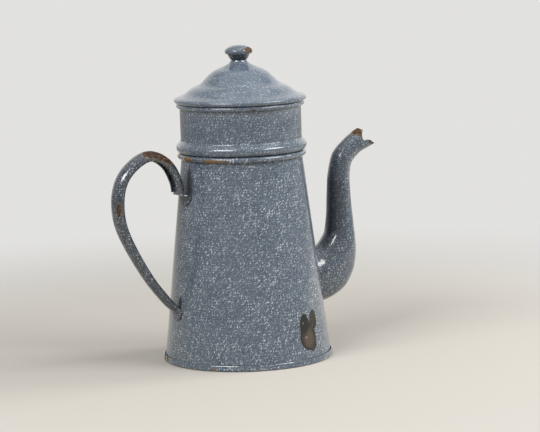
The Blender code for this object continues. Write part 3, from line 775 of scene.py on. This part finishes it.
# %% Rings and tubes
def add_ring(middle, half, breadth, sides):
    """One elliptical ring in edit mode: half runs from its middle to its upper edge, all in mm."""
    bpy.ops.mesh.primitive_circle_add(vertices=sides, radius=MM)
    bpy.ops.transform.resize(value=(math.hypot(*half), breadth, 1), center_override=(0, 0, 0))
    lean = math.atan2(half[1], half[0])
    bpy.ops.transform.rotate(value=lean, orient_axis="Y", center_override=(0, 0, 0))
    bpy.ops.transform.translate(value=(middle[0] * MM, 0, middle[1] * MM))


def keep_side(piece, side):
    """Cuts a piece along its middle plane and keeps the half on one side of it."""
    choose(piece)
    bpy.ops.object.mode_set(mode="EDIT")
    bpy.ops.mesh.select_all(action="SELECT")
    bpy.ops.mesh.bisect(plane_co=(0, 0, 0), plane_no=(0, side, 0), clear_inner=True)
    bpy.ops.object.mode_set(mode="OBJECT")


# %% Spout tube
SPOUT_EDGES = [  # upper edge (distance from the axis, height), lower edge, breadth over depth; mm
    (57.3, 78.5, 62.2, 35.8, 0.74),
    (58.8, 79.0, 76.8, 39.6, 0.73),
    (61.0, 79.8, 89.0, 46.7, 0.72),
    (63.9, 81.0, 96.6, 57.7, 0.76),
    (67.9, 83.5, 99.6, 68.1, 0.84),
    (71.4, 87.2, 100.5, 77.3, 0.92),
    (74.7, 92.0, 100.2, 86.5, 0.99),
    (75.9, 97.0, 99.5, 95.5, 1.00),
    (77.1, 106.9, 98.6, 106.2, 1.00),
    (77.6, 117.2, 97.7, 117.2, 1.00),
    (78.2, 127.7, 97.2, 127.4, 1.00),
    (78.9, 137.0, 97.0, 136.0, 1.00),
    (80.6, 146.0, 97.8, 142.6, 1.00),
    (83.2, 154.7, 99.4, 147.9, 1.00),
    (87.3, 160.5, 102.3, 151.3, 1.00),
    (93.4, 165.8, 107.8, 155.7, 1.00),
    (99.3, 170.1, 114.0, 158.4, 1.00),
    (107.4, 174.9, 121.3, 161.5, 1.00),
]
SPOUT_SIDES = 48
FLANGE = 3.0
FLANGE_STAND_OFF = 0.8 * MM


def lay_on_wall(point, stand_off):
    """The place straight outward from the axis on the wall's surface, plus a distance."""
    reach = wall_radius(point.z / MM) * MM + stand_off
    return Vector((math.sqrt(reach**2 - point.y**2), point.y, point.z))


spout = begin("spout", bpy.ops.mesh.primitive_plane_add, size=MM)
bpy.ops.mesh.delete(type="VERT")
stations = smooth(SPOUT_EDGES, 4)
for i, (upper_x, upper_z, lower_x, lower_z, ratio) in enumerate(stations[:1] + stations):
    half = Vector(((upper_x - lower_x) / 2, (upper_z - lower_z) / 2))
    breadth = half.length * ratio
    if i == 0:
        half, breadth = half * (1 + FLANGE / half.length), breadth + FLANGE
    add_ring(((upper_x + lower_x) / 2, (upper_z + lower_z) / 2), half, breadth, SPOUT_SIDES)
    if i < 2:
        ring = bmesh.from_edit_mesh(spout.data)
        for point in [v for v in ring.verts if v.select]:
            point.co = lay_on_wall(point.co, FLANGE_STAND_OFF)
bpy.ops.mesh.select_all(action="SELECT")
bpy.ops.mesh.bridge_edge_loops()
close_edit()
print("spout tube:", len(spout.data.vertices), "points", len(spout.data.polygons), "faces")

# %% [markdown]
# The mouth is notched from side to side, which leaves a pointed upper lobe and a thin lower lip. The wedge
# that is subtracted is an outline extruded across the mouth.

# %% Notch in the mouth
NOTCH = [  # distance from the axis, height; mm
    (112.0, 177.0), (108.6, 173.5), (106.7, 170.5), (106.4, 166.8), (107.3, 165.7), (110.8, 166.1),
    (113.2, 165.7), (115.5, 164.2), (118.4, 162.7), (121.8, 161.9), (126.0, 166.0),
]
WEDGE_SIDE = 20 * MM
wedge = draw_line("wedge", [(x * MM, -WEDGE_SIDE, z * MM) for x, z in NOTCH])
bpy.ops.mesh.edge_face_add()
bpy.ops.mesh.extrude_region_move(TRANSFORM_OT_translate={"value": (0, 2 * WEDGE_SIDE, 0)})
close_edit()
print("wedge:", len(wedge.data.polygons), "faces")

# %% [markdown]
# Each half of the spout is pressed from its own sheet, so the tube is copied and cut twice. The sheet's
# thickness goes inward, and its edge, which shows at the mouth, takes the worn finish.

# %% Two pressed halves
SPOUT_SHEET = 0.9 * MM
for side, node in ((-1, "spout_right_half"), (1, "spout_left_half")):
    pressing = spout.copy()
    pressing.data = spout.data.copy()
    pressing.name = pressing.data.name = node.replace("_half", "")
    bpy.context.scene.collection.objects.link(pressing)
    keep_side(pressing, side)
    apply(pressing, "sheet", "SOLIDIFY", thickness=SPOUT_SHEET, offset=-1, use_even_offset=True,
          material_offset_rim=1)
    apply(pressing, "notch", "BOOLEAN", operation="DIFFERENCE", object=wedge, solver="EXACT")
    finish(pressing, [node], "pot", spout_enamel, rim=worn_edge)
bpy.data.objects.remove(spout)
bpy.data.objects.remove(wedge)

# %% [markdown]
# ## Handle
#
# The handle is a strip of sheet rolled into a channel, open towards the pot. It is built like the spout,
# from rings set along its crest, but the part of each ring that faces the pot is deleted first.

# %% Strap
CREST = [  # distance from the axis, height, share of the full width; mm
    (53.5, 137.2, 0.96), (54.6, 146.5, 1.00), (61.0, 159.9, 1.00), (71.2, 168.6, 1.00),
    (83.1, 171.7, 1.00), (94.4, 167.8, 1.00), (105.5, 158.7, 1.00), (112.3, 146.9, 1.00),
    (114.7, 131.0, 1.00), (112.2, 113.1, 0.97), (102.7, 92.2, 0.90), (88.9, 69.3, 0.83),
    (77.1, 54.0, 0.80), (71.2, 47.4, 0.79), (66.4, 43.3, 0.76),
]
STRAP_WIDTH = 14.5
STRAP_DEPTH = 7.9
LIP_TURN = 130.0  # degrees from the crest round to each lip
STRAP_SIDES = 36
crest = smooth(CREST, 6)


def crest_ring(row):
    """Middle, outward direction, depth and half width of the strap's ring at a row of the crest."""
    before, after = crest[max(row - 1, 0)], crest[min(row + 1, len(crest) - 1)]
    run = Vector((after[0] - before[0], after[1] - before[1])).normalized()
    out = Vector((-run.y, run.x))
    reach, height, share = crest[row]
    depth = STRAP_DEPTH * share / (1 - math.cos(math.radians(LIP_TURN)))
    return Vector((reach, height)) - out * depth, out, depth, STRAP_WIDTH * share / 2


strap = begin("strap", bpy.ops.mesh.primitive_plane_add, size=MM)
bpy.ops.mesh.delete(type="VERT")
for row in range(len(crest)):
    middle, out, depth, half_width = crest_ring(row)
    add_ring((-middle.x, middle.y), (-out.x * depth, out.y * depth), half_width, STRAP_SIDES)
    ring = bmesh.from_edit_mesh(strap.data)
    for point in [v for v in ring.verts if v.select]:
        offset = Vector((-point.co.x / MM - middle.x, point.co.z / MM - middle.y))
        point.select_set(offset.dot(out) < depth * math.cos(math.radians(LIP_TURN + 2)))
    ring.select_flush_mode()
    bpy.ops.mesh.delete(type="VERT")
bpy.ops.mesh.select_all(action="SELECT")
bpy.ops.mesh.bridge_edge_loops()
close_edit()
# The channel's inside and its edges take the second, lighter enamel: painted light on the shaded inside,
# and the pale worn lips.
apply(strap, "sheet", "SOLIDIFY", thickness=SHEET, offset=-1, use_even_offset=True, material_offset=1,
      material_offset_rim=1)
soften(strap, 0.25 * MM, 60)
finish(strap, ["handle_strap"], "pot", strap_enamel, rim=lip_and_lit_inside_enamel)

# %% [markdown]
# A tongue of thicker sheet is brazed inside each end of the strap. It leaves the strap, bends and lies
# flat on the wall with a half round tip. A grid is a good start for a formed strip: each of its rows of
# points is set to the strip's width at one place, and a Solidify modifier gives it the sheet's thickness.

# %% Tongues
TONGUE_SHEET = 1.2 * MM
TONGUE_TURNS = [0, 10, 20, 30, 40, 50, 60, 69, 77, 84]  # degrees round the tip
HELD_LENGTH = 10.5  # of the tongue inside the strap, mm
HELD_MARGIN = 1.4  # between the tongue's side and the strap's, mm
BEND = 1.4  # mm
WALL_GAP = 0.9  # from the wall's outside to the middle of the tongue's sheet, mm


def tongue(name, rows, drop, width, tip):
    """A strip held inside the strap's end, whose rows are given from that end inwards; all in mm."""
    held = []
    for row in rows:
        middle, _, _, half_width = crest_ring(row)
        held.append((middle, half_width - HELD_MARGIN))
        if (held[-1][0] - held[0][0]).length > HELD_LENGTH:
            break
    end, end_half = held[0]
    bend = end + (end - held[1][0]).normalized() * BEND
    top, bottom = bend.y - BEND, crest[rows[0]][1] - drop
    places = [(spot.x, spot.y, half) for spot, half in reversed(held)]
    places.append((bend.x, bend.y, (end_half + width / 2) / 2))
    places.append((wall_radius(top) + WALL_GAP, top, width / 2))
    for turn in TONGUE_TURNS:
        height = bottom + tip * (1 - math.sin(math.radians(turn)))
        half = width / 2 * math.cos(math.radians(turn))
        places.append((wall_radius(height) + WALL_GAP, height, half))
    first_on_wall = len(held) + 1
    last = len(places) - 1
    piece = begin(name, bpy.ops.mesh.primitive_grid_add, x_subdivisions=10, y_subdivisions=last, size=1)
    mesh = bmesh.from_edit_mesh(piece.data)
    for point in mesh.verts:
        i = round((point.co.y + 0.5) * last)
        reach, height, half = places[i]
        across = point.co.x * 2 * half
        if i >= first_on_wall:
            reach = math.sqrt(reach**2 - across**2)
        point.co = (-reach * MM, across * MM, height * MM)
    bmesh.update_edit_mesh(piece.data)
    close_edit()
    apply(piece, "sheet", "SOLIDIFY", thickness=TONGUE_SHEET, offset=0, use_even_offset=True,
          material_offset_rim=1)
    soften(piece, 0.3 * MM, 60)
    return piece


upper_tongue = tongue("upper_tongue", range(len(crest)), 11.2, 18.4, 7.6)
finish(upper_tongue, ["handle_upper_bracket"], "pot", bracket_enamel, rim=lip_and_lit_inside_enamel)
lower_tongue = tongue("lower_tongue", range(len(crest) - 1, 0, -1), 7.4, 14.2, 5.2)
finish(lower_tongue, ["handle_lower_bracket"], "pot", bracket_enamel, rim=lip_and_lit_inside_enamel)

# %% [markdown]
# ## Loose pieces
#
# The skirt under the lid and the perforated pieces inside the chamber are plain flat sheet and bent wire,
# so their solids already have the right shape. They only take the enamel.

# %% Solids that keep their shape
kept = [
    ("lid_skirt", lid_enamel), ("filter_bottom", plain_enamel), ("tamper_disc", plain_enamel),
    ("tamper_loop", plain_enamel), ("spreader_disc", plain_enamel), ("spreader_knob", plain_enamel),
]
for name, material in kept:
    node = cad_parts[name]
    node.data.materials.clear()
    node.data.materials.append(material)
print("kept solids:", [name for name, material in kept])
